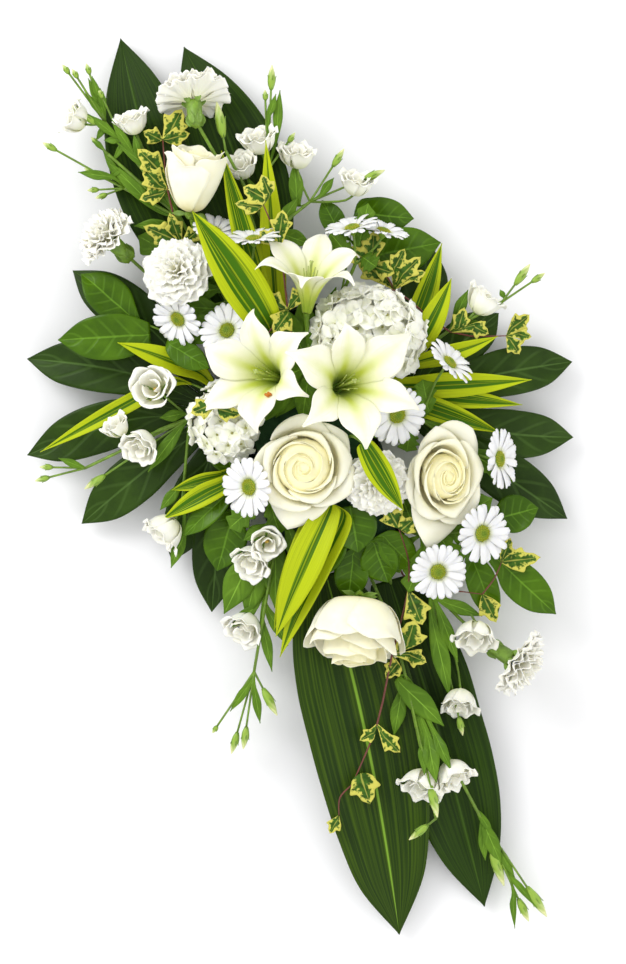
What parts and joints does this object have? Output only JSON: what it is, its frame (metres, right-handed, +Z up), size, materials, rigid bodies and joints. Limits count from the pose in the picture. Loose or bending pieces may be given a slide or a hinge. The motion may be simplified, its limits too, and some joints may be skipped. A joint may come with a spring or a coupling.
{
  "type": "casket spray",
  "caption": "Long double-ended spray of white roses, lilies, carnations, daisies and lisianthus among dark, glossy and striped leaves, set in foam on a low tray.",
  "frame": {"origin": "centre of the tray's flat underside, under the middle of the foam", "axes": "+Z up, +Y along the spray towards its shorter, top end, +X to the right as seen from above"},
  "size_m": [0.5483, 0.9618, 0.1974],
  "materials": {
    "rose_bloom": "soft cream petals, matt",
    "carnation_bloom": "ruffled white petals, matt",
    "lily_bloom": "white tepals with a green throat, satin",
    "hydrangea_head": "small white florets, matt",
    "green_stem": "fresh green stem, satin",
    "daisy_spray": "white rays and yellow green discs, matt",
    "lisianthus_spray": "white cups, green buds and leaves, matt",
    "dark_leaf": "dark green leaf, semi gloss",
    "salal_leaf": "leathery green leaf, gloss",
    "striped_leaf": "lime and green striped blade, satin",
    "ivy_leaf": "green and cream ivy, satin",
    "foam": "wet floral foam, matt",
    "tray": "dark green moulded plastic"
  },
  "bodies": {
    "root": {"aspidistra_low_left": "dark_leaf", "aspidistra_low_right": "dark_leaf", "aspidistra_top_left": "dark_leaf", "aspidistra_top_right": "dark_leaf", "carnation_centre_bloom": "carnation_bloom", "carnation_centre_stem": "green_stem", "carnation_far_left_bloom": "carnation_bloom", "carnation_far_left_stem": "green_stem", "carnation_left_bloom": "carnation_bloom", "carnation_left_stem": "green_stem", "carnation_low_right_bloom": "carnation_bloom", "carnation_low_right_stem": "green_stem", "carnation_top_bloom": "carnation_bloom", "carnation_top_stem": "green_stem", "daisies_left": "daisy_spray", "daisies_low_right": "daisy_spray", "daisies_right": "daisy_spray", "daisies_top_right": "daisy_spray", "daisies_upper_left": "daisy_spray", "fatsia_left": "dark_leaf", "fatsia_right": "dark_leaf", "floral_foam": "foam", "hydrangea_left_head": "hydrangea_head", "hydrangea_left_stem": "green_stem", "hydrangea_right_head": "hydrangea_head", "hydrangea_right_stem": "green_stem", "ivy_low": "ivy_leaf", "ivy_right": "ivy_leaf", "ivy_top": "ivy_leaf", "ivy_top_left": "ivy_leaf", "lily_left": "lily_bloom", "lily_right": "lily_bloom", "lily_stem": "green_stem", "lily_top": "lily_bloom", "lisianthus_bottom": "lisianthus_spray", "lisianthus_left": "lisianthus_spray", "lisianthus_low_left": "lisianthus_spray", "lisianthus_low_right": "lisianthus_spray", "lisianthus_right": "lisianthus_spray", "lisianthus_top": "lisianthus_spray", "lisianthus_upper_left": "lisianthus_spray", "rose_centre_bloom": "rose_bloom", "rose_centre_stem": "green_stem", "rose_low_bloom": "rose_bloom", "rose_low_stem": "green_stem", "rose_right_bloom": "rose_bloom", "rose_right_stem": "green_stem", "rose_top_bloom": "rose_bloom", "rose_top_stem": "green_stem", "salal_left": "salal_leaf", "salal_low_left": "salal_leaf", "salal_middle": "salal_leaf", "salal_right": "salal_leaf", "salal_top": "salal_leaf", "spray_tray": "tray", "striped_centre": "striped_leaf", "striped_left": "striped_leaf", "striped_low": "striped_leaf", "striped_right": "striped_leaf", "striped_top": "striped_leaf"}
  },
  "joints": []
}
